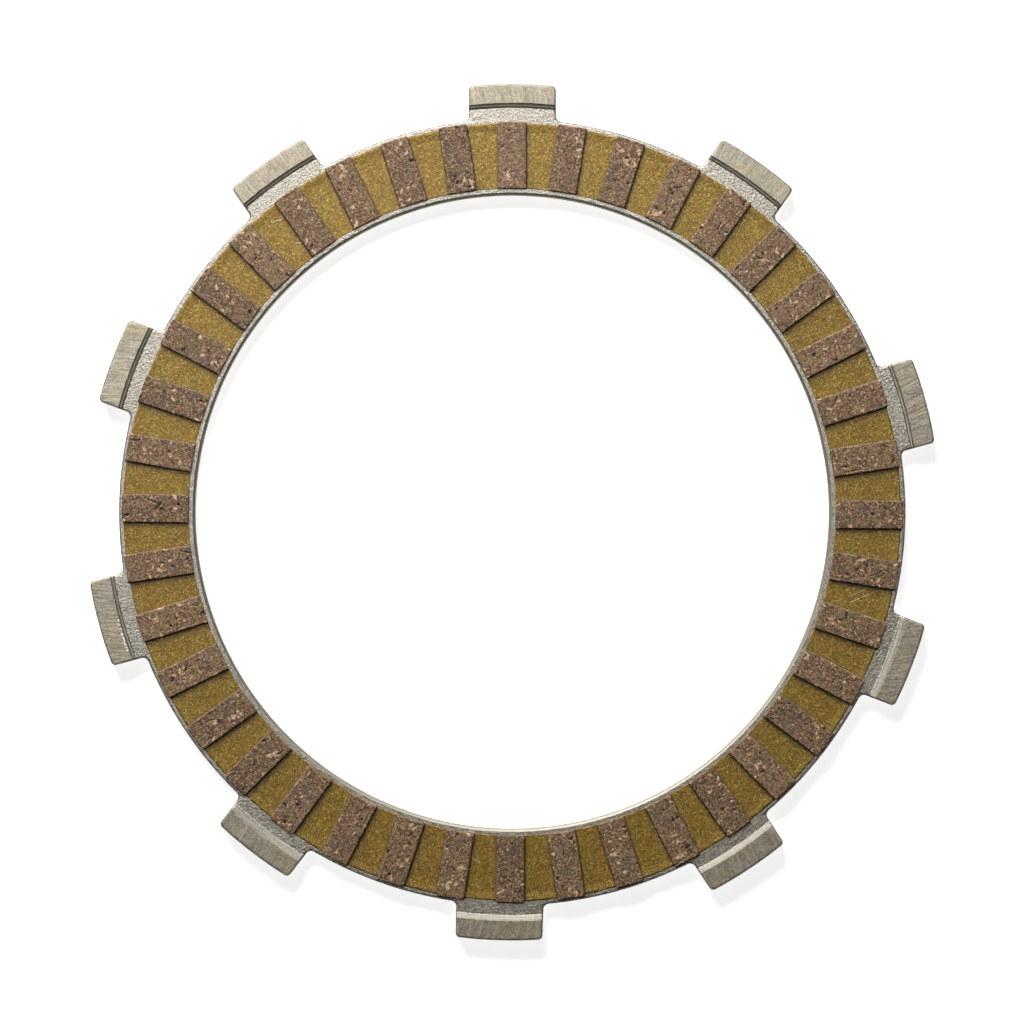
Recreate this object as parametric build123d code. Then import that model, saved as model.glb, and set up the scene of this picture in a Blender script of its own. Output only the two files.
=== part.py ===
from build123d import *
import os

# A lined clutch disc: one friction plate of a wet multi-plate clutch.
# A die-cast aluminium core plate has drive tabs round its rim. Each face carries a thin coat of
# bonding resin and a ring of friction pads pressed onto it. Oil runs in the gaps between the pads.
#
# Lengths are in millimetres. The origin is on the bore's axis at mid-thickness. +Z is that axis
# and comes out of the front face, and +Y points at the first drive tab. The disc is the same on
# both faces.

# The radial chain, from the bore outwards: bare inner rim, pads, bare outer rim, drive tabs
BORE_DIAMETER = 118.3
INNER_RIM_WIDTH = 1.25
PAD_LENGTH = 12.55
OUTER_RIM_WIDTH = 0.55
TAB_LENGTH = 6.5

# Core plate
WEB_THICKNESS = 1.6
BORE_CHAMFER = 0.5
EDGE_BREAK = 0.25

# Drive tabs. Their bearings are in degrees clockwise from +Y, seen from the front. The pitch is
# uneven, as it is on the real disc.
TAB_WIDTH = 16.3
TAB_THICKNESS = 2.8
TAB_CORNER_RADIUS = 0.85
TAB_ROOT_RADIUS = 1.7
TAB_BEARINGS = (0.0, 35.2, 74.8, 111.1, 146.4, 181.8, 217.4, 254.8, 290.9, 324.9)

# Step from the thin web up to the ground land of each tab: a wall, a narrow ledge and a second
# wall, which takes the rest of the height
STEP_SETBACK = 1.9
LOWER_WALL_RUN = 0.2
LOWER_WALL_RISE = 0.28
LEDGE_RUN = 0.35
LEDGE_RISE = 0.04
UPPER_WALL_RUN = 0.4

# Bonding coat. It stops a little short of both ends of the pads.
COAT_THICKNESS = 0.05
COAT_INNER_SETBACK = 0.1
COAT_OUTER_SETBACK = 0.25

# Friction pads. They are laid down one by one, so that their bearings stray from an even pitch of
# 9 degrees by up to 0.6.
PAD_BEARINGS = (
    0.0, 8.9, 17.8, 26.8, 35.7, 44.7, 53.9, 63.1, 72.2, 81.3,
    90.4, 99.5, 108.5, 117.5, 126.6, 135.5, 144.4, 153.3, 162.4, 171.3,
    180.3, 189.2, 198.2, 207.2, 216.3, 225.4, 234.5, 243.6, 252.6, 261.6,
    270.6, 279.6, 288.5, 297.6, 306.6, 315.5, 324.5, 333.4, 342.3, 351.2,
)
PAD_WIDTH = 5.4
PAD_THICKNESS = 0.65
PAD_CORNER_CLIP = 0.4
PAD_EDGE_BREAK = 0.12
PADS_PER_BACK_SECTOR = 4

# Radii and heights that the pieces share
bore_radius = BORE_DIAMETER / 2
pad_inner_radius = bore_radius + INNER_RIM_WIDTH
pad_outer_radius = pad_inner_radius + PAD_LENGTH
coat_inner_radius = pad_inner_radius + COAT_INNER_SETBACK
coat_outer_radius = pad_outer_radius - COAT_OUTER_SETBACK
ring_radius = pad_outer_radius + OUTER_RIM_WIDTH
tip_radius = ring_radius + TAB_LENGTH
step_radius = ring_radius + STEP_SETBACK
ledge_radius = step_radius + LOWER_WALL_RUN
ledge_end_radius = ledge_radius + LEDGE_RUN
land_radius = ledge_end_radius + UPPER_WALL_RUN
web_top = WEB_THICKNESS / 2
land_top = TAB_THICKNESS / 2
coat_top = web_top + COAT_THICKNESS


def clockwise(bearing):
    """The turn about the bore's axis that brings a piece at +Y to a clock bearing."""
    return Rot(0, 0, -bearing)


def back_of(shape):
    """The same shape on the back face."""
    return mirror(shape, about=Plane.XY)


def tab_outline():
    """One drive tab at +Y, from the bore's axis to its tip, which is turned to a true circle."""
    with BuildSketch() as outline:
        Rectangle(TAB_WIDTH, tip_radius, align=(Align.CENTER, Align.MIN))
        Circle(tip_radius, mode=Mode.INTERSECT)
        tip_corners = outline.vertices().group_by(Axis.Y)[-1]
        fillet(tip_corners, TAB_CORNER_RADIUS)
    return outline.sketch


def web_outline():
    """The ring with all its tabs, filleted where each tab leaves the ring, and bored."""
    tab = tab_outline()
    with BuildSketch() as outline:
        with Locations(clockwise(TAB_BEARINGS[0] - 90)):
            Circle(ring_radius)
        for bearing in TAB_BEARINGS:
            add(clockwise(bearing) * tab)
        roots = outline.vertices().filter_by(lambda v: abs(v.center().length - ring_radius) < 0.01)
        fillet(roots, TAB_ROOT_RADIUS)
        Circle(bore_radius, mode=Mode.SUBTRACT)
    return outline.sketch


def step_cutter():
    """The ring of metal that is missing over each tab's step, above the front of the web."""
    clear = land_top + 1
    with BuildPart() as cutter:
        with BuildSketch(Plane.XZ):
            with BuildLine():
                Polyline(
                    (bore_radius, web_top),
                    (step_radius, web_top),
                    (ledge_radius, web_top + LOWER_WALL_RISE),
                    (ledge_end_radius, web_top + LOWER_WALL_RISE + LEDGE_RISE),
                    (land_radius, land_top),
                    (land_radius, clear),
                    (bore_radius, clear),
                    close=True,
                )
            make_face()
        revolve(axis=Axis.Z)
    return cutter.part


def tab_block():
    """The thick end of one tab at +Y: ground lands, broken edges and a step on both faces."""
    with BuildPart() as block:
        with BuildSketch():
            add(tab_outline())
            Circle(step_radius, mode=Mode.SUBTRACT)
        extrude(amount=land_top, both=True)
        for land in (block.faces().sort_by(Axis.Z)[0], block.faces().sort_by(Axis.Z)[-1]):
            outer_edges = land.edges().sort_by(SortBy.DISTANCE)[1:]
            chamfer(outer_edges, EDGE_BREAK)
        cutter = step_cutter()
        add(cutter, mode=Mode.SUBTRACT)
        add(back_of(cutter), mode=Mode.SUBTRACT)
    return block.part


def core_plate():
    """The casting: a thin web with a chamfered bore, and a thick end on each drive tab."""
    with BuildPart() as core:
        with BuildSketch():
            add(web_outline())
        extrude(amount=web_top, both=True)
        for face in (core.faces().sort_by(Axis.Z)[0], core.faces().sort_by(Axis.Z)[-1]):
            chamfer(face.outer_wire().edges(), EDGE_BREAK)
        bore_edges = core.edges().filter_by(GeomType.CIRCLE).filter_by(
            lambda edge: abs(edge.radius - bore_radius) < 0.01
        )
        chamfer(bore_edges, BORE_CHAMFER)
        block = tab_block()
        for bearing in TAB_BEARINGS:
            add(clockwise(bearing) * block)
    return core.part


def bond_coat():
    """The resin coat on the front face: a thin flat ring that stops short of both rims."""
    with BuildPart() as coat:
        with BuildSketch(Plane.XY.offset(web_top)):
            Circle(coat_outer_radius)
            Circle(coat_inner_radius, mode=Mode.SUBTRACT)
        extrude(amount=COAT_THICKNESS)
    return coat.part


def front_pad():
    """One friction pad on the front coat at +Y, with clipped outer corners and a worn edge."""
    with BuildPart() as pad:
        with BuildSketch(Plane.XY.offset(coat_top)) as outline:
            with Locations((0, pad_inner_radius)):
                Rectangle(PAD_WIDTH, PAD_LENGTH, align=(Align.CENTER, Align.MIN))
            chamfer(outline.vertices().group_by(Axis.Y)[-1], PAD_CORNER_CLIP)
        extrude(amount=PAD_THICKNESS)
        chamfer(pad.faces().sort_by(Axis.Z)[-1].edges(), PAD_EDGE_BREAK)
    return pad.part


def pad_ring(pad):
    """Copies of a pad all the way round, clockwise from the first drive tab."""
    return [clockwise(bearing) * pad for bearing in PAD_BEARINGS]


def sectors(pads):
    """The pads in groups of neighbours, each group still made of separate pads."""
    starts = range(0, len(pads), PADS_PER_BACK_SECTOR)
    return [Compound(children=pads[start : start + PADS_PER_BACK_SECTOR]) for start in starts]


def make_nodes():
    """Every piece of the disc, by name."""
    coat = bond_coat()
    pad = front_pad()
    nodes = {
        "core_plate": core_plate(),
        "bond_coat_front": coat,
        "bond_coat_back": back_of(coat),
    }
    for number, front in enumerate(pad_ring(pad), start=1):
        nodes[f"pad_front_{number:02d}"] = front
    for number, group in enumerate(sectors(pad_ring(back_of(pad))), start=1):
        nodes[f"pads_back_{number:02d}"] = group
    return nodes


os.makedirs("parts", exist_ok=True)
for name, shape in make_nodes().items():
    export_step(shape, f"parts/{name}.step")
    print(name, "solids", len(shape.solids()))
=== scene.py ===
# %% [markdown]
# # A lined clutch disc
#
# This lesson dresses one friction plate of a wet clutch. It is a die-cast aluminium ring with ten
# drive tabs, a thin coat of bonding resin on each face, and forty friction pads pressed into each
# coat. The CAD model gives every piece its place and size. Blender adds what CAD leaves plain: worn
# edges, the pits and flecks of the lining, the blasted and ground metal, and the light.
#
# The first step loads the CAD model as a fixed frame.

# %% Load the CAD model as the frame
import math
import random

import bpy
import numpy as np
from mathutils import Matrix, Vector, noise


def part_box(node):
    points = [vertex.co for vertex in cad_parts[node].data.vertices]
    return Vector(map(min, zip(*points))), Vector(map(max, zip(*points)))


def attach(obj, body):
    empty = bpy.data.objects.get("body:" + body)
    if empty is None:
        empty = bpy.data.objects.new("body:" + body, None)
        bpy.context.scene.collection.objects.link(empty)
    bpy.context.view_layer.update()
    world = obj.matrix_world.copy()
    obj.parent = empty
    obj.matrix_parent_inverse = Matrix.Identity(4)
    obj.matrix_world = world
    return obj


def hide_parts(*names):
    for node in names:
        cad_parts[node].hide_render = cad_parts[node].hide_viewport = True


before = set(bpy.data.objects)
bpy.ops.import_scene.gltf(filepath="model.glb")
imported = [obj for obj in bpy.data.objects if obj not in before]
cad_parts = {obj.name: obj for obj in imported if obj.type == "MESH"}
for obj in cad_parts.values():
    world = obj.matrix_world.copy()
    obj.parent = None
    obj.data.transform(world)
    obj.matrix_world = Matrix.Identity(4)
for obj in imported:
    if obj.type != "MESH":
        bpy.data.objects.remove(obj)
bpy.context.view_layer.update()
print("CAD nodes:", len(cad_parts))

# %% [markdown]
# ## Sizes
#
# Lengths are in millimetres until a mesh is made, because a maker thinks of such a disc in
# millimetres. Heights and radii are read off the CAD nodes, so the dressed pieces can't drift from
# them. Bearings are in degrees, clockwise from +Y as on a compass. The pads are laid down one by one,
# so their pitch is uneven, and each pad's bearing is read off its own node.

# %% Read the sizes off the frame
MM = 0.001


def box_mm(node):
    """The lowest and highest corners of a CAD node, in millimetres."""
    low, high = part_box(node)
    return np.array(low) / MM, np.array(high) / MM


def points_mm(node):
    """Every point of a CAD node's mesh, in millimetres."""
    return np.array([vertex.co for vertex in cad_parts[node].data.vertices]) / MM


core_points = points_mm("core_plate")
core_radii = np.hypot(core_points[:, 0], core_points[:, 1])
core_bearings = np.degrees(np.arctan2(core_points[:, 0], core_points[:, 1]))
between_two_tabs = np.abs(core_bearings - 17.6) < 5

bore_radius = core_radii.min()
ring_radius = core_radii[between_two_tabs].max()
tip_radius = core_radii.max()
land_top = core_points[:, 2].max()
(_, _, web_top), (coat_outer, _, coat_top) = box_mm("bond_coat_front")
(_, pad_inner, _), (pad_half, pad_outer, pad_top) = box_mm("pad_front_01")

PAD_COUNT = 40
pad_middles = np.array([points_mm(f"pad_front_{pad + 1:02d}").mean(0) for pad in range(PAD_COUNT)])
pad_bearings = np.degrees(np.arctan2(pad_middles[:, 0], pad_middles[:, 1])).round(3) % 360
print(f"bore {bore_radius:.2f}, ring {ring_radius:.2f}, tips {tip_radius:.2f} mm")
print(f"pad bearings from {pad_bearings[0]:.1f} to {pad_bearings[-1]:.1f} degrees")
print(f"web {web_top:.2f}, coat {coat_top:.2f}, land {land_top:.2f}, pads {pad_top:.2f} mm high")

# %% [markdown]
# ## Shader sums as plain Python
#
# A material's masks are sums of noise, distances and thresholds. Built by hand, each plus sign is one
# Math node and one link. The class below wraps an output socket, so that an expression such as
# `1 - mask` adds those nodes by itself. Any other node comes from one method: it takes the node's
# type, its settings, and what goes into its sockets.

# %% A socket that Python can calculate with
class Wire:
    """An output socket. Sums with numbers or with other wires add Math nodes."""

    def __init__(self, graph, socket):
        self.graph = graph
        self.socket = socket

    def _math(self, operation, first, second):
        return self.graph.node("ShaderNodeMath", {"operation": operation}, {0: first, 1: second})

    def __add__(self, other):
        return self._math("ADD", self, other)

    __radd__ = __add__

    def __sub__(self, other):
        return self._math("SUBTRACT", self, other)

    def __rsub__(self, other):
        return self._math("SUBTRACT", other, self)

    def __mul__(self, other):
        return self._math("MULTIPLY", self, other)

    __rmul__ = __mul__


# %% A node tree that is filled by calls
class Graph:
    """A node tree, such as a material's or the world's."""

    def __init__(self, tree):
        self.tree = tree
        tree.nodes.clear()

    def node(self, kind, settings=None, sockets=None, out=0):
        """Adds a node, sets it up, fills its sockets, and gives back one of its outputs."""
        made = self.tree.nodes.new(kind)
        for name, value in (settings or {}).items():
            setattr(made, name, value)
        for name, value in (sockets or {}).items():
            if isinstance(value, Wire):
                self.tree.links.new(value.socket, made.inputs[name])
            else:
                made.inputs[name].default_value = value
        if not made.outputs:
            return None
        return Wire(self, made.outputs[out])

    def point(self):
        """The place on the object, in millimetres."""
        place = self.node("ShaderNodeTexCoord", out="Object")
        return self.vector("SCALE", place, {"Scale": 1 / MM})

    def vector(self, operation, first, sockets=None, out=0):
        """A Vector Math node on a first vector and whatever else its sockets need."""
        sockets = {0: first, **(sockets or {})}
        return self.node("ShaderNodeVectorMath", {"operation": operation}, sockets, out)

    def parts(self, vector):
        """The x, y and z of a vector, each as a wire."""
        return [self.node("ShaderNodeSeparateXYZ", sockets={0: vector}, out=axis) for axis in "XYZ"]

    def noise(self, place, size, detail=2.0, rough=0.5, out="Fac"):
        """Cloudy noise from 0 to 1 whose blobs are about `size` millimetres across."""
        sockets = {"Vector": place, "Scale": 0.5 / size, "Detail": detail, "Roughness": rough}
        return self.node("ShaderNodeTexNoise", sockets=sockets, out=out)

    def grains(self, place, size):
        """A random number from 0 to 1 for each grain of about `size` millimetres."""
        sockets = {"Vector": place, "Scale": 1 / size}
        colour = self.node("ShaderNodeTexVoronoi", sockets=sockets, out="Color")
        return self.node("ShaderNodeSeparateXYZ", sockets={0: colour}, out="X")

    def ease(self, value, start, end):
        """0 before start, 1 after end, and a smooth rise between. Start may be the larger one."""
        sockets = {"Value": value, "From Min": start, "From Max": end}
        return self.node("ShaderNodeMapRange", {"interpolation_type": "SMOOTHSTEP"}, sockets)

    def band(self, value, start, full, fade, end):
        """1 between full and fade, 0 before start and after end, with a smooth slope at each side."""
        return self.ease(value, start, full) * self.ease(value, end, fade)

    def colour(self, share, first, second, blend="MIX"):
        """Two colours mixed: all of the first at share 0, all of the second at share 1."""
        return self.node(
            "ShaderNodeMix",
            {"data_type": "RGBA", "blend_type": blend},
            {0: share, 6: rgba(first), 7: rgba(second)},
            out=2,
        )

    def bump(self, height):
        """The surface normal bent by a height in millimetres."""
        return self.node("ShaderNodeBump", sockets={"Distance": MM, "Height": height})

    def attribute(self, name):
        """A number that the mesh carries at each point."""
        return self.node("ShaderNodeAttribute", {"attribute_name": name}, out="Fac")


def rgba(colour):
    """A colour for a socket: a wire as it is, and three numbers with an alpha of 1."""
    return colour if isinstance(colour, Wire) else (*colour, 1.0)


# %% Make a material around one main shader
def new_finish(name, surface):
    """A material whose main shader takes the sockets that surface(graph) returns."""
    material = bpy.data.materials.new(name)
    material.use_nodes = True
    graph = Graph(material.node_tree)
    shader = graph.node("ShaderNodeBsdfPrincipled", sockets=surface(graph))
    graph.node("ShaderNodeOutputMaterial", sockets={"Surface": shader})
    print(name, "uses", len(material.node_tree.nodes), "nodes")
    return material


# %% [markdown]
# A scratch is a straight line with two ends, which noise can't draw. So its mask is worked out the way
# a compass and ruler would: the nearest point of the line to each place, and the gap between the two.
# A painted image would do it too, but it would have to be unwrapped, and it blurs from close by.

# %% A scratch between two places
def spot(bearing, radius):
    """The x and y of a place on the disc."""
    turn = math.radians(bearing)
    return radius * math.sin(turn), radius * math.cos(turn)


def stroke(graph, place, start, end, width):
    """A mask of a straight scratch between two places on the face."""
    start = Vector((*start, 0))
    along = Vector((*end, 0)) - start
    from_start = graph.vector("SUBTRACT", graph.vector("MULTIPLY", place, {1: (1, 1, 0)}), {1: start})
    share = graph.vector("DOT_PRODUCT", from_start, {1: along / along.length_squared}, out="Value")
    share = graph.node("ShaderNodeClamp", sockets={"Value": share})
    nearest = graph.vector("SCALE", along, {"Scale": share})
    gap = graph.vector("DISTANCE", from_start, {1: nearest}, out="Value")
    return graph.ease(gap, width, width * 0.4)


def strokes(graph, place, scratches):
    """The mask of several scratches, each given by its two ends and its width."""
    return sum(stroke(graph, place, start, end, width) for start, end, width in scratches)


# %% [markdown]
# ## Meshes as grids
#
# Every piece of the disc is a sheet of points in rows and columns: rows run outwards, columns run
# round. A grid like this puts fine rows where an edge needs them and coarse rows where a coat hides
# the metal, which sculpting or subdividing the whole disc can't do as cheaply.

# %% Turn grids of points into pieces
SHARP_ANGLE = math.radians(42)


def polar(radius, bearing, height):
    """Points from radii, bearings in degrees and heights."""
    turn = np.radians(bearing)
    radius, turn, height = np.broadcast_arrays(radius, turn, height)
    return np.stack((radius * np.sin(turn), radius * np.cos(turn), height), -1)


def quads(numbers):
    """The faces between the points of a grid, from the number of each point."""
    corners = (numbers[:-1, :-1], numbers[:-1, 1:], numbers[1:, 1:], numbers[1:, :-1])
    return np.stack(corners, -1).reshape(-1, 4)


def numbered(rows, columns, start=0):
    """Numbers for a grid's points, row by row."""
    return start + np.arange(rows * columns).reshape(rows, columns)


def noise_at(points, size, octaves=1, seed=0.0):
    """Smooth noise, about -1 to 1, at each point. Its blobs are about `size` millimetres."""
    shifted = points / size + seed
    return np.array([noise.fractal(Vector(place), 1.0, 2.0, octaves) for place in shifted])


def make_piece(name, points, faces, finish, attributes=None):
    """A smooth mesh that rides on the disc, from points in millimetres."""
    mesh = bpy.data.meshes.new(name)
    mesh.from_pydata((points * MM).tolist(), [], faces.tolist())
    for key, values in (attributes or {}).items():
        mesh.attributes.new(key, "FLOAT", "POINT").data.foreach_set("value", values.astype(np.float32))
    mesh.shade_smooth()
    mesh.set_sharp_from_angle(angle=SHARP_ANGLE)
    mesh.materials.append(finish)
    piece = bpy.data.objects.new(name, mesh)
    bpy.context.scene.collection.objects.link(piece)
    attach(piece, "root")
    return piece


# %% [markdown]
# ## The metal
#
# One casting shows several finishes. The web is shot-blasted, so it sparkles. The land of each tab is
# ground flat, which leaves faint lines and a warm dull colour, and some lands are scratched. The bore
# is turned, so its marks run round it. The step between web and land is as cast: smoother than the
# web, with painted shade darkening its ledge, and duller on its upper wall. A material for each would need
# faces cut along every border, and real borders wander. One material with a mask for each finish lets
# noise move the borders instead. The masks need only the radius and the height of a place.

# %% Where each finish of the casting lies
# Where a finish begins and where it is full: outwards from the bore, up from the land, and, for the
# step and its parts, up from the web. The ledge's band also has where it fades and where it ends.
TURNED_EDGE = (0.58, 0.5)
GROUND_EDGE = (-0.045, -0.015)
STEP_FOOT = (0.02, 0.08)
LEDGE_BAND = (0.23, 0.26, 0.31, 0.34)
UPPER_WALL_FOOT = (0.31, 0.36)


def cylinder(graph, place):
    """A place's radius, its bearing in radians and its height off mid-thickness."""
    x, y, z = graph.parts(place)
    flat_place = graph.node("ShaderNodeCombineXYZ", sockets={0: x, 1: y})
    radius = graph.vector("LENGTH", flat_place, out="Value")
    bearing = graph.node("ShaderNodeMath", {"operation": "ARCTAN2"}, {0: x, 1: y})
    height = graph.node("ShaderNodeMath", {"operation": "ABSOLUTE"}, {0: z})
    return radius, bearing, height


def casting_masks(graph, place, radius, height):
    """Masks of the ground lands, the turned bore, the step, its ledge and its upper wall."""
    ragged = (graph.noise(place, 0.35, detail=1.0) - 0.5) * 0.02
    ground = graph.ease(height + ragged, *(land_top + edge for edge in GROUND_EDGE))
    turned = graph.ease(radius, *(bore_radius + edge for edge in TURNED_EDGE))
    rise = height - web_top
    step = graph.ease(rise, *STEP_FOOT) * (1 - ground)
    ledge = graph.band(rise, *LEDGE_BAND)
    upper_wall = graph.ease(rise, *UPPER_WALL_FOOT) * (1 - ground)
    return ground, turned, step, ledge, upper_wall


# %% A ground land with its stains, scratches and burr
GROUND_COLOUR = (0.545, 0.502, 0.415)
GROUND_SHADE = (0.29, 0.265, 0.21)
LAND_STAIN = (1.0, 0.965, 0.89)
SCRATCH_SHADE = (0.13, 0.115, 0.09)
BURR_COLOUR = (0.97, 0.95, 0.9)
BURR_BEARINGS = [math.radians(bearing) for bearing in (-110.2, -109.63, -105.27, -104.7)]
BURR_RADII = (76.12, 76.2, 76.5, 76.62)
LAND_SCRATCHES = (
    (spot(73.3, 76.9), spot(73.9, 79.7), 0.10),
    (spot(78.9, 77.0), spot(79.3, 79.2), 0.07),
    (spot(180.6, 77.0), spot(182.2, 79.4), 0.08),
    (spot(252.3, 77.2), spot(252.9, 79.5), 0.07),
)


def grinding_lines(graph, place, radius, bearing, height):
    """Long fine lines, from 0 to 1, that run out along each land at a slant that drifts."""
    slant = (graph.noise(place, 30.0, detail=0.0) - 0.48) * 1.6
    across = bearing * ring_radius + (radius - ring_radius) * slant
    lines_place = graph.node("ShaderNodeCombineXYZ", sockets={0: across, 1: radius * 0.1, 2: height})
    return graph.noise(lines_place, 0.2, detail=2.0, rough=0.65)


def land_colour(graph, place, radius, bearing, lines, facets):
    """The colour of a ground land."""
    stains = graph.noise(place, 1.8, detail=3.0, rough=0.6)
    share = graph.ease(lines * 0.65 + stains * 0.05 + facets * 0.3, 0.3, 0.7)
    land = graph.colour(share, GROUND_SHADE, GROUND_COLOUR)
    land = graph.colour(graph.ease(stains, 0.42, 0.6), land, LAND_STAIN, "MULTIPLY")
    land = graph.colour(strokes(graph, place, LAND_SCRATCHES) * 0.7, land, SCRATCH_SHADE)
    burr = graph.band(bearing, *BURR_BEARINGS) * graph.band(radius, *BURR_RADII)
    burr = burr * graph.ease(graph.noise(place, 0.22, detail=0.0), 0.48, 0.56)
    return graph.colour(burr, land, BURR_COLOUR)


# %% The casting's material
BLASTED_COLOUR = (0.57, 0.54, 0.475)
BLASTED_SHADE = (0.295, 0.275, 0.23)
TURNED_COLOUR = (0.48, 0.45, 0.37)


def casting_surface(graph):
    """The sockets of the cast aluminium."""
    place = graph.point()
    radius, bearing, height = cylinder(graph, place)
    ground, turned, step, ledge, upper_wall = casting_masks(graph, place, radius, height)
    # Blasting leaves dents and glinting facets, and the casting itself swells a little
    dents = graph.noise(place, 0.17, detail=1.0, rough=0.6)
    facets = graph.grains(place, 0.21)
    swells = graph.noise(place, 1.6, detail=2.0)
    # Grinding leaves lines along the lands, and turning leaves rings round the bore
    lines = grinding_lines(graph, place, radius, bearing, height)
    rings_sockets = {0: bearing * ring_radius * 0.02, 1: radius, 2: graph.parts(place)[2]}
    rings = graph.noise(graph.node("ShaderNodeCombineXYZ", sockets=rings_sockets), 0.05, detail=1.0)

    blasted_share = graph.ease(facets * 0.6 + dents * 0.4, 0.2, 0.8)
    blasted = graph.colour(blasted_share, BLASTED_SHADE, BLASTED_COLOUR)
    blasted = graph.colour(step * 0.4, blasted, BLASTED_COLOUR)
    # Painted shade: the ledge between the step's two walls is darkened towards the blasted shade colour
    blasted = graph.colour(ledge * 0.35, blasted, BLASTED_SHADE)
    colour = graph.colour(ground, blasted, land_colour(graph, place, radius, bearing, lines, facets))
    colour = graph.colour(turned, colour, TURNED_COLOUR)

    rough = 0.42 + (facets - 0.5) * 0.1
    rough = rough + ground * 0.1 + turned * 0.04 + upper_wall * 0.12
    depth = dents * (0.065 - step * 0.05) * (1 - ground) * (1 - turned)
    depth = depth + (lines * 0.045 + dents * 0.012) * ground + rings * 0.004 * turned
    depth = depth + swells * 0.02 * (1 - ground)
    return {
        "Base Color": colour,
        "Metallic": 1.0,
        "Roughness": rough,
        "Normal": graph.bump(depth),
    }


cast_aluminium = new_finish("cast_aluminium_blasted", casting_surface)

# %% [markdown]
# ## The outline of a drive tab
#
# A tab leaves the ring through a small round root, runs out with parallel sides, and ends in rounded
# corners on the turned tip circle. It could be drawn as a curve and filled, but a filled curve has no
# rows to shape the step with. So only the right-hand edge is worked out, from arcs and a line, and
# the left one mirrors it. For each radius the mesh then needs one number: how far round from the
# tab's middle the edge lies.

# %% One tab's edge, from the ring to the tip
TAB_BEARINGS = (0.0, 35.2, 74.8, 111.1, 146.4, 181.8, 217.4, 254.8, 290.9, 324.9)
TAB_HALF_WIDTH = 8.15
CORNER_RADIUS = 0.85
ROOT_RADIUS = 1.1
ARC_STEPS = 40


def arc(centre, radius, start, end):
    """Points along an arc between two angles, counter-clockwise from +X in degrees."""
    turn = np.radians(np.linspace(start, end, ARC_STEPS))
    return np.stack((centre[0] + radius * np.cos(turn), centre[1] + radius * np.sin(turn)), -1)


def on_circle(radius, x):
    """The point of a circle about the axis that lies at x, on the +Y side."""
    return np.array((x, math.sqrt(radius**2 - x**2)))


root_centre = on_circle(ring_radius + ROOT_RADIUS, TAB_HALF_WIDTH + ROOT_RADIUS)
corner_centre = on_circle(tip_radius - CORNER_RADIUS, TAB_HALF_WIDTH - CORNER_RADIUS)
root_start = 180 + math.degrees(math.atan2(root_centre[1], root_centre[0]))
corner_end = math.degrees(math.atan2(corner_centre[1], corner_centre[0]))
root_arc = arc(root_centre, ROOT_RADIUS, root_start, 180)
corner_arc = arc(corner_centre, CORNER_RADIUS, 0, corner_end)
side = np.linspace(root_arc[-1], corner_arc[0], ARC_STEPS)[1:-1]
tab_edge = np.concatenate((root_arc, side, corner_arc))
edge_radii = np.hypot(tab_edge[:, 0], tab_edge[:, 1])
edge_bearings = np.degrees(np.arctan2(tab_edge[:, 0], tab_edge[:, 1]))
root_half_angle = edge_bearings[0]
print(f"a tab spans {2 * root_half_angle:.1f} degrees at its root")

# %% How deep inside the outline a point lies
BEYOND_ROOT = 3.0

ring_beyond = np.radians(np.linspace(root_half_angle, root_half_angle + BEYOND_ROOT, ARC_STEPS))
tip_across = np.radians(np.linspace(0, edge_bearings[-1], ARC_STEPS))
outline = np.concatenate((
    np.stack((ring_radius * np.sin(ring_beyond), ring_radius * np.cos(ring_beyond)), -1),
    tab_edge,
    np.stack((tip_radius * np.sin(tip_across), tip_radius * np.cos(tip_across)), -1),
))


def inset(points):
    """The distance of each point of the tab at +Y from the nearest edge."""
    right = np.abs(points[..., 0])
    reach = np.hypot(right[..., None] - outline[:, 0], points[..., 1, None] - outline[:, 1])
    return reach.min(-1)


# %% [markdown]
# ## The casting's mesh
#
# The front half is built as an open shell from the bore's middle to the outline's middle, and a
# Mirror modifier adds the back, since the real disc is the same on both faces. Between the web and
# each land the rows follow the step's profile: a wall, a narrow sloping ledge, and a second wall.
# Each tab's step lies a little further in or out, as its own insert in the die left it, and its
# lines wander. Near the outline the surface rolls over, so that the edges catch the light softly
# instead of as a knife line.

# %% Heights of the casting
# The step's profile: radii, and heights above the web. The shifts are one for each tab, in order.
STEP_RADII = (75.26, 75.33, 75.4, 75.47, 75.53, 75.6, 75.96, 76.29)
STEP_RISES = (0.0, 0.012, 0.06, 0.125, 0.19, 0.25, 0.315, land_top - web_top)
FOOT_SHIFTS = (0.27, 0.16, 0.0, -0.35, -0.25, -0.04, -0.38, 0.08, 0.01, 0.21)
LAND_SHIFTS = (0.15, -0.02, -0.24, -0.1, -0.24, 0.02, 0.1, -0.25, -0.15, 0.07)
SHIFTED_RADII = (74.4, 75.05, 76.4, 77.4)
WANDER_RADII = (75.2, 75.4, 75.9, 76.2, 76.5)
WANDERS = (0.0, 0.012, 0.012, 0.04, 0.0)
EDGE_WIDTH = 0.3
EDGE_DROP = 0.2


def roll_over(depth):
    """How far the surface has dropped at a given depth inside the outline."""
    return EDGE_DROP * np.clip(1 - depth / EDGE_WIDTH, 0, 1) ** 1.5


def step_rows(rows, foot, land):
    """The rows of a tab whose step starts further out by foot and ends further out by land."""
    return rows + np.interp(rows, SHIFTED_RADII, (0, foot, land, 0))


def wander(points, rows):
    """How far each point of a tab strays outwards from its row."""
    stray = noise_at(points.reshape(-1, 3) * (1, 1, 0), 0.45, octaves=2).reshape(points.shape[:2])
    return stray * np.interp(rows, WANDER_RADII, WANDERS)[:, None]


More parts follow.
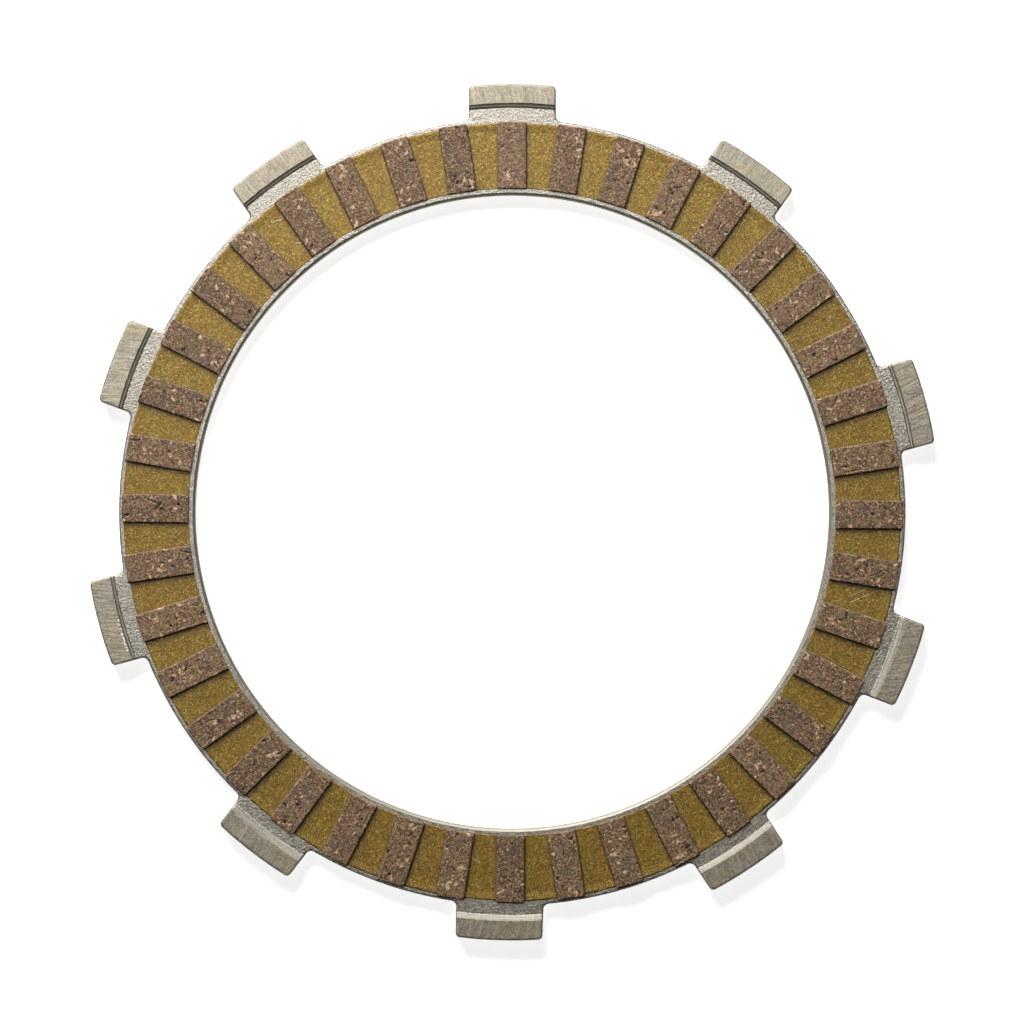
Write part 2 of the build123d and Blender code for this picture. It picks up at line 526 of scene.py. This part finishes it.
# %% Rows and columns of the casting
# The bore's wall and chamfer: distances out from the bore, and heights off mid-thickness
BORE_PROFILE = (
    (0.0, 0.0), (0.0, 0.2), (0.0, 0.4), (0.02, 0.46),
    (0.22, 0.595), (0.42, 0.73), (0.48, 0.765), (0.56, 0.797),
)
INNER_RIM_INSETS = (0.62, 0.85, 1.1, 1.35)
RING_INSETS = (0.85, 0.62, 0.46, 0.36, 0.28, 0.2, 0.13, 0.06, 0.0)
HIDDEN_RADII = (62.5, 66.5, 70.5, 72.2)
SIDE_INSETS = np.array((0.0, 0.06, 0.13, 0.2, 0.28, 0.42))
STEP_ROWS = STEP_RADII + (
    75.1, 75.2, 75.3, 75.44, 75.61, 75.7, 75.76, 75.82, 75.94, 76.02, 76.1, 76.18, 76.26, 76.38,
)
ROOT_ROWS_END = 75.0
LAND_ROWS_START = 76.6
LAND_ROW_PITCH = 0.4
COLUMN_WIDTH = 0.4

inner_rim = bore_radius + np.array(INNER_RIM_INSETS)
face_radii = np.concatenate((inner_rim, HIDDEN_RADII, ring_radius - np.array(RING_INSETS)))
bore_rows = np.array(BORE_PROFILE)
ring_rows = np.concatenate((bore_radius + bore_rows[:, 0], face_radii))
ring_tops = np.concatenate((bore_rows[:, 1], np.full(len(face_radii), web_top)))
root_rows = edge_radii[np.arange(6, ARC_STEPS, 6)]
root_rows = root_rows[root_rows < ROOT_ROWS_END]
land_rows = np.arange(LAND_ROWS_START, edge_radii[-ARC_STEPS], LAND_ROW_PITCH)
corner_rows = edge_radii[-ARC_STEPS:][np.linspace(0, ARC_STEPS - 1, 8).astype(int)]
tab_rows = np.unique(np.concatenate((root_rows, STEP_ROWS, land_rows, corner_rows)).round(4))
tab_rows[-1] = tip_radius

half_columns = round((TAB_HALF_WIDTH - SIDE_INSETS[-1]) / COLUMN_WIDTH)
from_side = np.linspace(SIDE_INSETS[-1], TAB_HALF_WIDTH, half_columns)[1:]
right_half = 1 - np.concatenate((SIDE_INSETS, from_side[:-1])) / TAB_HALF_WIDTH
across_tab = np.concatenate((-right_half, (0.0,), right_half[::-1]))
print(f"{len(ring_rows)} rows on the ring, {len(tab_rows)} more on each tab")
print(f"{len(across_tab)} columns across a tab")

# %% Place the casting's points
bearings = []
tab_starts = []
for bearing, following in zip(TAB_BEARINGS, TAB_BEARINGS[1:] + (360.0,)):
    gap_start = bearing + root_half_angle
    gap_end = following - root_half_angle
    steps = round(math.radians(gap_end - gap_start) * ring_radius / COLUMN_WIDTH)
    tab_starts.append(len(bearings))
    bearings.extend(bearing + across_tab * root_half_angle)
    bearings.extend(np.linspace(gap_start, gap_end, steps + 1)[1:-1])
bearings = np.array(bearings)

ring_points = polar(ring_rows[:, None], bearings, ring_tops[:, None])
ring_depth = np.repeat((ring_radius - ring_rows)[:, None], len(bearings), 1)
root_points = polar(ring_rows[:, None], across_tab * root_half_angle, 0.0)
for start in tab_starts:
    ring_depth[:, start : start + len(across_tab)] = inset(root_points)
bore_row_count = len(bore_rows)
ring_points[bore_row_count:, :, 2] -= roll_over(ring_depth[bore_row_count:])

tab_heights = web_top + np.interp(tab_rows, STEP_RADII, STEP_RISES)[:, None]
tab_points = []
for bearing, foot, land in zip(TAB_BEARINGS, FOOT_SHIFTS, LAND_SHIFTS):
    rows = step_rows(tab_rows, foot, land)
    tab_bearings = np.interp(rows, edge_radii, edge_bearings)[:, None] * across_tab
    drop = roll_over(inset(polar(rows[:, None], tab_bearings, 0.0)))
    radii = rows[:, None] + wander(polar(rows[:, None], bearing + tab_bearings, 0.0), tab_rows)
    tab_points.append(polar(radii, bearing + tab_bearings, tab_heights - drop))
tab_size = tab_points[0][..., 0].size
print("points on the front half:", ring_points[..., 0].size + len(tab_points) * tab_size)

# %% Join them into faces
ring_numbers = numbered(len(ring_rows), len(bearings))
closed_ring = np.concatenate((ring_numbers, ring_numbers[:, :1]), 1)
faces = [quads(closed_ring)]
rim = []
for index, start in enumerate(tab_starts):
    columns = slice(start, start + len(across_tab))
    tab_numbers = numbered(len(tab_rows), len(across_tab), ring_numbers.size + index * tab_size)
    tab_numbers = np.concatenate((ring_numbers[-1:, columns], tab_numbers))
    faces.append(quads(tab_numbers))
    rim.extend(tab_numbers[:, 0])
    rim.extend(tab_numbers[-1, 1:])
    rim.extend(tab_numbers[-2::-1, -1])
    following = tab_starts[index + 1] if index + 1 < len(tab_starts) else len(bearings)
    rim.extend(ring_numbers[-1, columns.stop : following])

front_points = [points.reshape(-1, 3) for points in (ring_points, *tab_points)]
front_points = np.concatenate(front_points)
rim = np.array(rim)
rim_middle = front_points[rim] * (1, 1, 0)
wall_numbers = np.stack((rim, len(front_points) + np.arange(len(rim))))
wall_numbers = np.concatenate((wall_numbers, wall_numbers[:, :1]), 1)
faces.append(quads(wall_numbers))
casting = make_piece(
    "core_casting",
    np.concatenate((front_points, rim_middle)),
    np.concatenate(faces),
    cast_aluminium,
)
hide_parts("core_plate")
back_half = casting.modifiers.new("back half", "MIRROR")
back_half.use_axis = (False, False, True)
back_half.merge_threshold = 1e-6
print("faces on the front half:", len(casting.data.polygons))

# %% [markdown]
# ## The bonding resin
#
# The resin is laid on olive and bakes to a grainy skin with a slight sheen of its own colour, which
# a small share of Metallic gives. It is squeezed out into a bead along the sides of the pads, and it
# piled up into a lip towards the outer rim, where its edge wanders. Beside the pads the resin is
# darkened almost to black, as painted shade that deepens the shadow at each pad's foot. The flat CAD ring
# has none of this, so the coat is a new grid. Its columns crowd against each pad's side, where the bead
# needs them, and one wide strip runs unseen under the pad.
# Each point also carries how near a pad's side it lies, which the material reads to lay that painted
# shade.

# %% The resin's material
OLIVE = (0.305, 0.182, 0.007)
OLIVE_DARK = (0.11, 0.058, 0.001)
# Near-black colour for the painted shade beside each pad's side
PAINTED_SHADE_BESIDE_PADS = (0.02, 0.011, 0.003)
OLIVE_BROWN = (0.86, 0.74, 0.6)
OLIVE_PALE = (0.60, 0.43, 0.11)
SCRATCH_COLOUR = (0.62, 0.52, 0.34)
RESIN_SCRATCHES = (
    (spot(320.3, 70.3), spot(321.9, 69.6), 0.10),
    (spot(321.2, 64.6), spot(321.9, 64.0), 0.10),
    (spot(103.0, 68.3), spot(105.0, 65.2), 0.09),
    (spot(102.4, 67.4), spot(104.1, 64.8), 0.07),
    (spot(66.4, 70.9), spot(66.9, 70.3), 0.12),
    (spot(185.3, 65.7), spot(186.7, 65.0), 0.09),
)


def resin_surface(graph):
    """The sockets of the baked resin."""
    place = graph.point()
    grain = graph.noise(place, 0.17, detail=2.0, rough=0.6)
    grit = graph.grains(place, 0.23)
    clouds = graph.noise(place, 1.5, detail=2.0)
    shade = graph.ease(grit * 0.42 + grain * 0.38 + clouds * 0.2, 0.18, 0.72)
    colour = graph.colour(shade, OLIVE_DARK, OLIVE)
    colour = graph.colour(graph.ease(clouds, 0.46, 0.64) * 0.6, colour, OLIVE_BROWN, "MULTIPLY")
    pale = graph.ease(graph.grains(place, 0.2) + grain * 0.3, 0.97, 1.1)
    colour = graph.colour(pale * 0.7, colour, OLIVE_PALE)
    # Painted shade: close to each pad's side the resin is darkened almost to black, deepening the pad's
    # shadow
    colour = graph.colour(graph.attribute("corner") * 0.75, colour, PAINTED_SHADE_BESIDE_PADS)
    on_front = graph.ease(graph.parts(place)[2], 0.0, 0.1)
    scratched = strokes(graph, place, RESIN_SCRATCHES) * on_front * graph.ease(grain, 0.35, 0.5)
    colour = graph.colour(scratched, colour, SCRATCH_COLOUR)
    return {
        "Base Color": colour,
        "Metallic": 0.3,
        "Roughness": 0.44 + (grain - 0.5) * 0.2,
        "Specular IOR Level": 0.78,
        "Normal": graph.bump(grain * 0.06 + clouds * 0.02),
    }


baked_resin = new_finish("baked_resin", resin_surface)

# %% Columns that crowd against the pads
# Distances from a pad's side. The first lies under the pad.
UNDER_PAD = 0.15
NEAR_PAD = np.array((-UNDER_PAD, 0.0, 0.06, 0.14, 0.25, 0.42))
ACROSS_MIDDLE = np.linspace(0, 1, 9)[1:-1]


def gap_columns(radii):
    """The bearings of the columns at each radius, and each point's distance from a pad's side."""
    radii = radii[:, None, None]
    starts = np.radians(pad_bearings)[:, None]
    pitches = np.diff(starts, axis=0, append=starts[:1] + 2 * math.pi)
    side = np.arcsin(pad_half / radii)
    width = radii * (pitches - 2 * side)
    middle = NEAR_PAD[-1] + (width - 2 * NEAR_PAD[-1]) * ACROSS_MIDDLE
    distances = np.concatenate((NEAR_PAD + 0 * width, middle, width - NEAR_PAD[::-1]), -1)
    bearings = np.degrees(starts + side + distances / radii)
    to_pad = np.minimum(distances, width - distances)
    return bearings.reshape(len(radii), -1), to_pad.reshape(len(radii), -1)


# %% Rows of the coat, and how thick it is along them
EDGE_REACH = 0.6
EDGE_WAVE = 0.06
EDGE_DRIFT = 0.12
WAVE_SIZE = 0.9
DRIFT_SIZE = 9.0
SWELL_SIZE = 0.5
SWELL_HEIGHT = 0.006
BEAD_HEIGHT = 0.035
BEAD_SPREAD = 0.11
CORNER_SPREAD = 0.16
# The lips: distances in from a rim, and the coat's thickness there
LIP_ROWS = np.array((0.0, 0.04, 0.09, 0.15, 0.22, 0.32))
INNER_LIP = np.array((-0.01, 0.03, 0.05, 0.055, 0.052, 0.05))
OUTER_LIP = np.array((-0.01, 0.04, 0.085, 0.12, 0.135, 0.14))
OUTER_RISE = 1.6
ROW_PITCH = 0.28

coat_inner = pad_inner
rows_between = round((coat_outer - coat_inner - 2 * LIP_ROWS[-1]) / ROW_PITCH)
flat_rows = np.linspace(coat_inner + LIP_ROWS[-1], coat_outer - LIP_ROWS[-1], rows_between)[1:-1]
coat_rows = np.concatenate((coat_inner + LIP_ROWS, flat_rows, coat_outer - LIP_ROWS[::-1]))
swelling = np.interp(coat_outer - flat_rows, (LIP_ROWS[-1], OUTER_RISE), (OUTER_LIP[-1], INNER_LIP[-1]))
thickness = np.concatenate((INNER_LIP, swelling, OUTER_LIP[::-1]))
to_edge = np.minimum(coat_rows - coat_inner, coat_outer - coat_rows)
near_edge = np.clip(1 - to_edge / EDGE_REACH, 0, 1)[:, None]
inward = np.where(coat_rows > (coat_inner + coat_outer) / 2, -1, 1)[:, None]
print(f"{len(coat_rows)} rows on the coat, {thickness.max():.2f} mm thick at most")


# %% Build the coat of each face
def noise_grid(points, size, octaves, seed):
    """Noise on a grid of points, as a grid."""
    return noise_at(points.reshape(-1, 3), size, octaves, seed).reshape(points.shape[:2])


def make_coat(name, node, up, seed):
    """A resin coat with beads along the pads. Up is 1 on the front face and -1 on the back."""
    around, to_pad = gap_columns(coat_rows)
    flat_points = polar(coat_rows[:, None], around, 0.0)
    wave = noise_grid(flat_points, WAVE_SIZE, 3, seed)
    drift = noise_grid(flat_points, DRIFT_SIZE, 1, seed + 20)
    swell = noise_grid(flat_points, SWELL_SIZE, 2, seed + 7)
    stray = np.abs(wave) * EDGE_WAVE * 2 + np.clip(drift, -0.5, 0.5) * EDGE_DRIFT
    radii = coat_rows[:, None] + stray * near_edge * inward
    from_pad = np.clip(to_pad, 0, None)
    bead = BEAD_HEIGHT * np.exp(-from_pad / BEAD_SPREAD) * (0.7 + 0.5 * swell)
    height = web_top + thickness[:, None] + (bead + SWELL_HEIGHT * swell) * (1 - near_edge)
    points = polar(radii, around, up * height).reshape(-1, 3)
    numbers = numbered(len(coat_rows), around.shape[1])
    faces = quads(np.concatenate((numbers, numbers[:, :1]), 1))[:, ::up]
    # How near each point lies to a pad's side, which the material reads to paint shade beside the pads
    marks = {"corner": np.exp(-from_pad / CORNER_SPREAD).reshape(-1)}
    coat = make_piece(name, points, faces, baked_resin, marks)
    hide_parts(node)
    print(name, "faces", len(faces))


make_coat("resin_front", "bond_coat_front", 1, 3.1)
make_coat("resin_back", "bond_coat_back", -1, 41.7)

# %% [markdown]
# ## The friction lining
#
# The lining is pressed fibre and resin: a brown mass that turns to mauve here and to khaki there,
# with pale fibres, orange and cream flecks that lie in crowds, grey stains, and pits and cracks
# where grains have pulled out. The pits and cracks are sunk into the shape and also painted almost black,
# as painted shade in them. Its cut sides are yellower and more even than its face. A texture alone would
# leave every pad a perfect tile. Here each pad is its own mesh, and the mesh carries where its pits,
# flecks, stains and sides are, so that colour and shape agree.

# %% The lining's material
LINING_DARK = (0.055, 0.029, 0.012)
LINING = (0.325, 0.198, 0.102)
LINING_PALE = (0.64, 0.44, 0.275)
MAUVE = (1.03, 0.94, 1.03)
KHAKI = (0.96, 1.0, 0.86)
WALL_COLOUR = (0.235, 0.16, 0.07)
FLECK_ORANGE = (0.62, 0.34, 0.16)
FLECK_CREAM = (0.82, 0.62, 0.42)
# Near-black colour for the painted shade inside the pits and cracks
PIT_PAINTED_SHADE = (0.018, 0.011, 0.007)
CLOUD_GREY = (0.13, 0.095, 0.07)


def lining_surface(graph):
    """The sockets of the friction lining."""
    place = graph.point()
    fibres = graph.noise(place, 0.19, detail=2.0, rough=0.65)
    crumbs = graph.grains(place, 0.27)
    dust = graph.grains(place, 0.18)
    clumps = graph.noise(place, 0.8, detail=2.0)
    shade = fibres * 0.3 + crumbs * 0.35 + dust * 0.15 + clumps * 0.2
    shade = graph.ease(shade + graph.attribute("tone") * 0.04, 0.29, 0.71)
    colour = graph.colour(shade, LINING_DARK, LINING)
    tint = graph.colour(graph.ease(graph.noise(place, 0.9, detail=2.0), 0.4, 0.6), KHAKI, MAUVE)
    colour = graph.colour(1.0, colour, tint, "MULTIPLY")
    pale = graph.ease(graph.grains(place, 0.25) + (fibres - 0.5) * 0.8, 0.84, 1.0)
    colour = graph.colour(pale * 0.8, colour, LINING_PALE)
    colour = graph.colour(graph.attribute("stain") * 0.55, colour, CLOUD_GREY)
    colour = graph.colour(graph.attribute("wall") * 0.7, colour, WALL_COLOUR)
    fleck = graph.ease(graph.attribute("fleck") + (fibres - 0.5) * 0.7, 0.4, 0.65)
    fleck_colour = graph.colour(graph.ease(crumbs, 0.3, 0.7), FLECK_ORANGE, FLECK_CREAM)
    colour = graph.colour(fleck * 0.9, colour, fleck_colour)
    pit = graph.ease(graph.attribute("pit") + (fibres - 0.5) * 0.3, 0.35, 0.6)
    # Painted shade: the sunk pits and cracks are coloured almost black
    colour = graph.colour(pit * 0.9, colour, PIT_PAINTED_SHADE)
    return {
        "Base Color": colour,
        "Metallic": 0.0,
        "Roughness": 0.55 + (fibres - 0.5) * 0.2,
        "Specular IOR Level": 0.45,
        "Normal": graph.bump(fibres * 0.07),
    }


pressed_lining = new_finish("pressed_lining", lining_surface)

# %% [markdown]
# Pits, cracks, flecks and stains are all blots: stretched discs whose edge is shaken by noise. They
# differ in number, size, stretch and softness alone, so one function draws them all. It works on the
# mesh's points and not in the shader, since the pits have to be sunk into the shape as well.

# %% Blots: soft irregular patches on a pad
PITS = {"number": (1, 4), "size": (0.13, 0.32), "stretch": 1.6, "softness": 0.5}
CRACKS = {"number": (0, 2), "size": (0.3, 0.45), "stretch": 4.0, "softness": 0.8}
FLECKS = {"number": (9, 17), "size": (0.13, 0.4), "stretch": 1.7, "softness": 0.6, "crowd": 0.6}
STAINS = {"number": (1, 4), "size": (0.6, 1.4), "stretch": 1.6, "softness": 1.2}
CROWD_SPREAD = 0.8


def pad_place(draw):
    """A random place on the pad at bearing 0."""
    return draw.uniform(-pad_half, pad_half), draw.uniform(pad_inner, pad_outer)


def blots(points, draw, number, size, stretch, softness, crowd=0.0):
    """A value from 0 to 1 at each point: 1 inside irregular patches, some of them crowded together."""
    count = draw.randint(*number)
    value = np.zeros(len(points))
    wobble = noise_at(points, size[1] * 0.9, octaves=2, seed=draw.uniform(0, 50))
    middles = (pad_place(draw), pad_place(draw))
    for _ in range(count):
        x, y = pad_place(draw)
        if draw.random() < crowd:
            middle = draw.choice(middles)
            x = draw.gauss(middle[0], CROWD_SPREAD)
            y = draw.gauss(middle[1], CROWD_SPREAD)
        radius = draw.uniform(*size)
        longer = draw.uniform(1.0, stretch)
        turn = draw.uniform(0, math.pi)
        across = points[:, 0] - x
        up = points[:, 1] - y
        along = (across * math.cos(turn) + up * math.sin(turn)) / (radius * longer)
        beside = (up * math.cos(turn) - across * math.sin(turn)) / (radius / longer)
        reach = np.hypot(along, beside) + wobble * 0.8
        value = np.maximum(value, np.clip((1.25 - reach) / softness, 0, 1))
    return value


# %% [markdown]
# Each pad is stamped from a sheet, and its rim crumbles a little in use. A bevel would round every rim
# alike. Here the rows and columns are pulled in at the rim by noise of their own, and the two outer
# corners are rounded by a different amount on each pad. The rows crowd at the rim, where the shape
# turns, and stay even elsewhere.

# %% The rows and columns of a pad
RIM_INSETS = np.array((0.0, 0.05, 0.12))
CRUMBLE = 0.045
CORNER_SIZES = (0.2, 0.45)


def pad_lines(length, spacing):
    """Places along a pad from one rim to the other, crowded at both, as shares from 0 to 1."""
    count = round((length - 2 * RIM_INSETS[-1]) / spacing)
    middle = np.linspace(RIM_INSETS[-1], length - RIM_INSETS[-1], count)[1:-1]
    return np.concatenate((RIM_INSETS, middle, length - RIM_INSETS[::-1])) / length


def crumbled(places, draw):
    """How far the rim is set in at places along it, by chips and wear."""
    points = np.stack((places, np.full_like(places, draw.uniform(0, 99)), np.zeros_like(places)), -1)
    chips = noise_at(points, 0.3, octaves=3)
    return CRUMBLE * (0.35 + np.clip(chips, -0.35, 1.0))


def pad_outline(draw, spacing):
    """The x and y of a pad's top, as two grids, for the pad at bearing 0."""
    across = pad_lines(2 * pad_half, spacing)
    along = pad_lines(pad_outer - pad_inner, spacing)
    y = pad_inner + along * (pad_outer - pad_inner)
    x = (across * 2 - 1) * pad_half
    near_end = crumbled(x, draw)
    far_end = crumbled(x, draw)
    grid_y = y[:, None] + near_end * (1 - along[:, None]) - far_end * along[:, None]
    corner = draw.uniform(*CORNER_SIZES)
    into_corner = np.clip(y - (pad_outer - corner), 0, corner)
    half = pad_half - corner + np.sqrt(corner**2 - into_corner**2)
    left = -half + crumbled(y, draw)
    right = half - crumbled(y, draw)
    grid_x = left[:, None] + (right - left)[:, None] * across
    return grid_x, grid_y


# %% A pad's worn top
PIT_DEPTH = 0.16
GRAIN_SIZE = 0.28
GRAIN_DEPTH = 0.035
RIM_DROP = 0.07
RIM_WIDTH = 0.12


def rim_drop(grid_x, grid_y):
    """How far the worn rim lies below the pad's face, at each point of its top."""
    sides = (grid_x - grid_x[:, :1], grid_x[:, -1:] - grid_x, grid_y - grid_y[:1], grid_y[-1:] - grid_y)
    to_rim = np.minimum.reduce(sides).reshape(-1)
    return RIM_DROP * np.clip(1 - to_rim / RIM_WIDTH, 0, 1) ** 1.5


def wear_marks(points, draw):
    """The pits, flecks and stains of one pad, as values at its points."""
    pit = blots(points, draw, **PITS)
    pit = np.maximum(pit, blots(points, draw, **CRACKS) * 0.8)
    fleck = blots(points, draw, **FLECKS)
    stain = blots(points, draw, **STAINS)
    return {"pit": pit, "fleck": fleck, "stain": stain, "tone": np.full_like(pit, draw.uniform(-1, 1))}


# %% A pad's sides
WALL_LEAN = 0.09
END_LEAN = 0.03
# Shares of the way down each side at which a loop of points lies
WALL_SHARES = (0.3, 0.65, 1.0)
DINT_SIZE = 0.3
DINT_SHARE = 0.006
SUNK_IN_COAT = 0.01

pad_middle = np.array((0, (pad_inner + pad_outer) / 2, 0))
pad_lean = 1 - np.array((WALL_LEAN / pad_half, END_LEAN / (pad_outer - pad_inner) * 2, 0))


def pad_sides(top, rim, seed):
    """Loops of points from the rim of a pad's top down into the coat, and the faces between them."""
    numbers = [rim]
    loops = []
    for level, share in enumerate(WALL_SHARES):
        loop = pad_middle + (top[rim] - pad_middle) * pad_lean**-share
        dint = np.clip(noise_at(loop + (0, 0, level * 5.0), DINT_SIZE, octaves=2, seed=seed), 0, 1)
        loop = loop - (loop - pad_middle) * (1, 1, 0) * (DINT_SHARE * dint)[:, None]
        loop[:, 2] = top[rim, 2] + (coat_top - SUNK_IN_COAT - top[rim, 2]) * share
        numbers.append(len(top) + level * len(rim) + np.arange(len(rim)))
        loops.append(loop)
    numbers = np.stack(numbers)
    return loops, quads(np.concatenate((numbers, numbers[:, :1]), 1))


# %% One pad with its pits, flecks and stains
def swung(points, bearing):
    """Points turned clockwise about the bore's axis."""
    turn = math.radians(bearing)
    x = points[:, 0] * math.cos(turn) + points[:, 1] * math.sin(turn)
    y = points[:, 1] * math.cos(turn) - points[:, 0] * math.sin(turn)
    return np.stack((x, y, points[:, 2]), -1)


def lining_pad(number, bearing, spacing):
    """Points, faces and marks of the pad at a bearing. Its number seeds its own wear."""
    draw = random.Random(number * 17 + 5)
    grid_x, grid_y = pad_outline(draw, spacing)
    flat_points = np.stack((grid_x, grid_y, np.zeros_like(grid_x)), -1).reshape(-1, 3)
    marks = wear_marks(flat_points, draw)
    grain = noise_at(flat_points, GRAIN_SIZE, octaves=3, seed=number * 3.7)
    sunk = rim_drop(grid_x, grid_y) + GRAIN_DEPTH * np.clip(0.5 + grain, 0, 1.4) + PIT_DEPTH * marks["pit"]
    top = pad_middle + (flat_points - pad_middle) * pad_lean
    top[:, 2] = pad_top - sunk

    numbers = numbered(*grid_x.shape)
    rim = np.concatenate((numbers[:-1, 0], numbers[-1, :-1], numbers[:0:-1, -1], numbers[0, :0:-1]))
    loops, side_faces = pad_sides(top, rim, number * 1.3)
    points = np.concatenate((top, *loops))
    on_side = np.arange(len(points)) >= len(top)
    marks = {key: np.append(values, np.zeros(on_side.sum())) for key, values in marks.items()}
    marks["wall"] = on_side.astype(float)
    return swung(points, bearing), np.concatenate((quads(numbers), side_faces)), marks


# %% The forty pads of the front
FRONT_SPACING = 0.16
BACK_SPACING = 0.36

for pad in range(PAD_COUNT):
    points, faces, marks = lining_pad(pad, pad_bearings[pad], FRONT_SPACING)
    name = f"front_lining_{pad + 1:02d}"
    piece = make_piece(name, points, faces, pressed_lining, marks)
    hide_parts(f"pad_front_{pad + 1:02d}")
print("faces on a front pad:", len(faces))

# %% [markdown]
# The back has forty pads in the same places, each with wear of its own. The CAD model groups them by
# tenths of the ring, four to a node, so they are made the same way, turned over, and joined in fours.
# They are coarser, because the disc lies on them.

# %% The forty pads of the back
PADS_PER_SECTOR = 4

for sector in range(PAD_COUNT // PADS_PER_SECTOR):
    points = []
    faces = []
    marks = []
    for pad in range(sector * PADS_PER_SECTOR, (sector + 1) * PADS_PER_SECTOR):
        pad_points, pad_faces, pad_marks = lining_pad(PAD_COUNT + pad, pad_bearings[pad], BACK_SPACING)
        faces.append(pad_faces[:, ::-1] + sum(len(part) for part in points))
        points.append(pad_points * (1, 1, -1))
        marks.append(pad_marks)
    piece = make_piece(
        f"back_lining_{sector + 1:02d}",
        np.concatenate(points),
        np.concatenate(faces),
        pressed_lining,
        {key: np.concatenate([pad_marks[key] for pad_marks in marks]) for key in marks[0]},
    )
    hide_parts(f"pads_back_{sector + 1:02d}")
print("faces on four back pads:", len(piece.data.polygons))

# %% [markdown]
# ## Floor, light and camera
#
# The disc lies on its back pads on a pale floor. The floor glows to the camera and in reflections, so
# that the ground is white and yet takes a faint shadow. The light comes from beyond the first tab and
# a little to the left. Bare metal mirrors the lamps and matte lining doesn't, and one lamp can't serve
# both: a large one close by gives the metal its wide soft sheen, but then no pad throws a clear
# shadow. So there are two. The softbox is seen in gloss only. The key lamp is lower and further off,
# lights matte surfaces only, and draws the short shadow beside each pad. The room is dim and warm,
# darker away from the lamps, and is also seen in gloss only, so that edges on that side read as thin
# dark lines.

# %% The floor
FLOOR_HALF = 1.5
FLOOR_PAINT = (0.86, 0.86, 0.86)
FLOOR_GLOW = 0.85


def lay_floor():
    """A pale floor under the back pads. It glows to the camera and in reflections only."""
    mesh = bpy.data.meshes.new("floor")
    signs = ((-1, -1), (1, -1), (1, 1), (-1, 1))
    corners = [(x * FLOOR_HALF, y * FLOOR_HALF, -pad_top * MM) for x, y in signs]
    mesh.from_pydata(corners, [], [(0, 1, 2, 3)])
    material = bpy.data.materials.new("white_floor")
    material.use_nodes = True
    graph = Graph(material.node_tree)
    rays = ("Is Camera Ray", "Is Glossy Ray", "Is Transmission Ray")
    seen = sum(graph.node("ShaderNodeLightPath", out=ray) for ray in rays)
    paint = graph.node("ShaderNodeBsdfDiffuse", sockets={"Color": rgba(FLOOR_PAINT)})
    glow = graph.node("ShaderNodeEmission", sockets={"Strength": seen * FLOOR_GLOW})
    both = graph.node("ShaderNodeAddShader", sockets={0: paint, 1: glow})
    graph.node("ShaderNodeOutputMaterial", sockets={"Surface": both})
    mesh.materials.append(material)
    floor = bpy.data.objects.new("floor", mesh)
    bpy.context.scene.collection.objects.link(floor)


lay_floor()

# %% The softbox and the key lamp
LAMP_BEARING = -18.0
SOFTBOX = {"from_zenith": 38.0, "distance": 0.6, "size": 0.6, "power": 4.55}
KEY = {"from_zenith": 64.0, "distance": 0.95, "size": 0.5, "power": 16.4}


def toward(bearing, from_zenith):
    """The direction at a bearing and an angle from straight up."""
    turn = math.radians(bearing)
    tilt = math.radians(from_zenith)
    return Vector((math.sin(tilt) * math.sin(turn), math.sin(tilt) * math.cos(turn), math.cos(tilt)))


def hang_lamp(name, from_zenith, distance, size, power):
    """A square lamp that faces the disc."""
    lamp = bpy.data.objects.new(name, bpy.data.lights.new(name, "AREA"))
    lamp.data.energy = power
    lamp.data.size = size
    lamp.location = toward(LAMP_BEARING, from_zenith) * distance
    lamp.rotation_euler = lamp.location.to_track_quat("Z", "Y").to_euler()
    lamp.visible_camera = False
    bpy.context.scene.collection.objects.link(lamp)
    return lamp


softbox = hang_lamp("softbox", **SOFTBOX)
softbox.visible_diffuse = False
key = hang_lamp("key", **KEY)
key.visible_glossy = False

# %% The dim room
ROOM_COLOUR = (1.0, 0.8, 0.48)
ROOM_DARK = 0.006
ROOM_LIGHT = 0.14
CEILING = 0.035

world = bpy.data.worlds.new("room")
bpy.context.scene.world = world
world.use_nodes = True
room = Graph(world.node_tree)
direction = room.node("ShaderNodeTexCoord", out="Generated")
facing_lamp = room.vector("DOT_PRODUCT", direction, {1: toward(LAMP_BEARING, 90.0)}, out="Value")
upwards = room.parts(direction)[2]
level = room.ease(facing_lamp, 0.0, 0.5) * ROOM_LIGHT
level = level + room.ease(upwards, 0.5, 1.0) * CEILING + ROOM_DARK
glow = room.node("ShaderNodeBackground", sockets={"Color": rgba(ROOM_COLOUR), "Strength": level})
room.node("ShaderNodeOutputWorld", sockets={"Surface": glow})
world.cycles_visibility.diffuse = False

# %% [markdown]
# The camera looks straight down on the disc, as square as the photograph does. A long lens one metre
# above keeps the perspective weak. Its field of view follows from how many millimetres of the disc's
# plane fit across the picture.

# %% The camera
PICTURE_WIDTH = 191.47
CAMERA_HEIGHT = 1000.0
CAMERA_OFFSET = (-0.047, 0.037)
SENSOR = 36.0

camera = bpy.data.objects.new("camera", bpy.data.cameras.new("camera"))
camera.data.sensor_width = SENSOR
camera.data.lens = SENSOR * CAMERA_HEIGHT / PICTURE_WIDTH
camera.location = (CAMERA_OFFSET[0] * MM, CAMERA_OFFSET[1] * MM, CAMERA_HEIGHT * MM)
bpy.context.scene.collection.objects.link(camera)
bpy.context.scene.camera = camera
bpy.context.scene.view_settings.view_transform = "Standard"
print(f"lens {camera.data.lens:.1f} mm")
